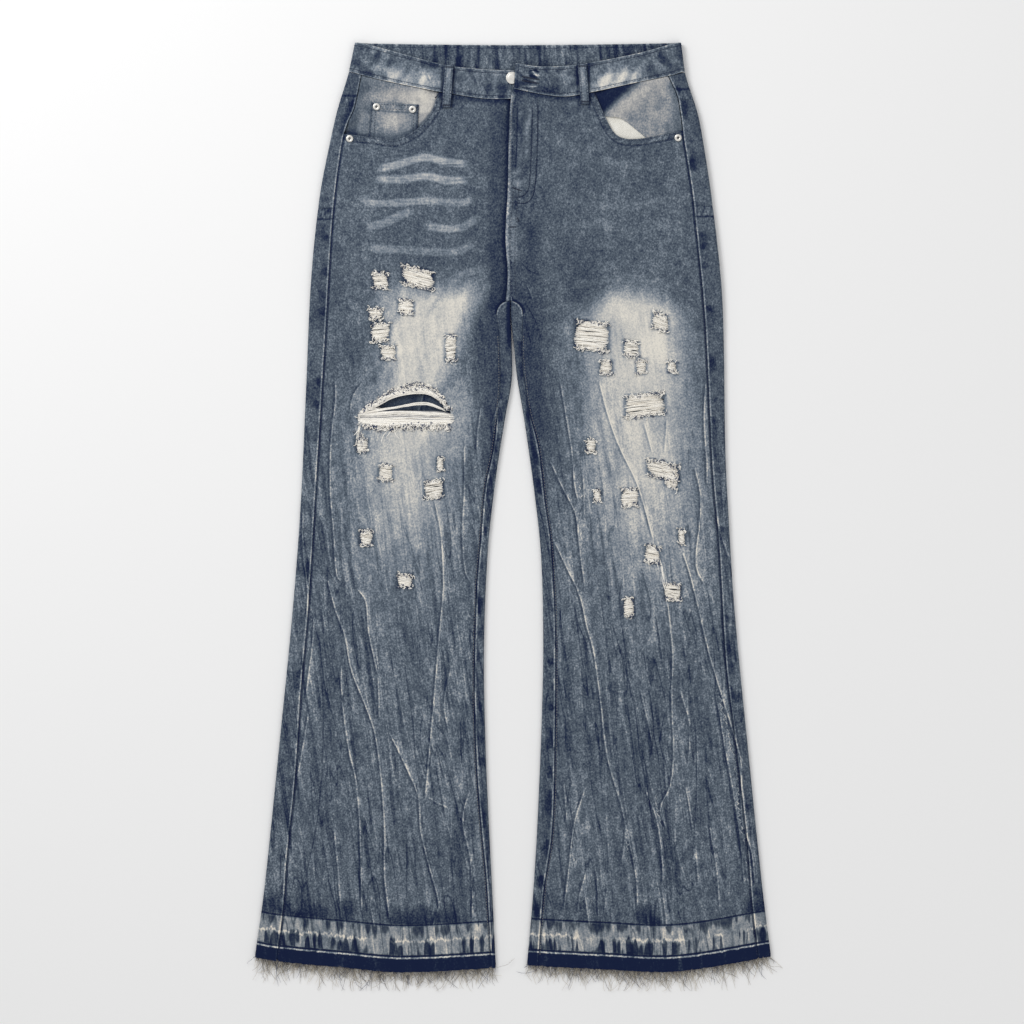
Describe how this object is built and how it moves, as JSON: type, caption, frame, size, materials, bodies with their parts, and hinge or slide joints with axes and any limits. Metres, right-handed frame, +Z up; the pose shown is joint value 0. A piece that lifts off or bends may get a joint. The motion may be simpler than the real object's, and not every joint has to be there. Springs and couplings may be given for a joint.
{
  "type": "ripped jeans",
  "caption": "Flared denim jeans laid flat with the front up: ripped thighs and knees, scoop and coin pockets, undone metal button, belt loops and frayed let-down hems.",
  "frame": {"origin": "middle of the ground under the laid-out jeans: X=0 and Y=0 at the middle of the box, Z=0 at the underside of the back pieces", "axes": "+Y from the hems to the waist, +Z up from the ground through the front, +X towards the wearer's left leg"},
  "size_m": [0.5878, 1.0803, 0.013],
  "materials": {
    "denim": "washed indigo twill, mottled, with pale creases and fades",
    "pale_denim": "pale washed indigo twill",
    "pocketing": "plain white cotton",
    "thread": "loose beige and grey cotton threads",
    "nickel": "pale nickel plate"
  },
  "bodies": {
    "root": {"waistband": "denim", "right_yoke": "denim", "left_yoke": "denim", "right_back_seat": "denim", "left_back_seat": "denim", "right_back_leg": "denim", "left_back_leg": "denim", "right_front_panel": "denim", "left_front_panel": "denim", "right_back_pocket": "denim", "left_back_pocket": "denim", "belt_loop_front_right": "denim", "belt_loop_front_left": "denim", "belt_loop_back_right": "denim", "belt_loop_back_middle": "denim", "belt_loop_back_left": "denim", "right_pocket_facing": "pale_denim", "left_pocket_facing": "pale_denim", "coin_pocket": "pale_denim", "left_pocket_bag": "pocketing", "right_hem_fringe_front": "thread", "right_hem_fringe_back": "thread", "left_hem_fringe_front": "thread", "left_hem_fringe_back": "thread", "waist_button": "nickel", "rivet_right_pocket": "nickel", "rivet_left_pocket": "nickel", "rivet_coin_outer": "nickel", "rivet_coin_inner": "nickel"}
  },
  "joints": []
}
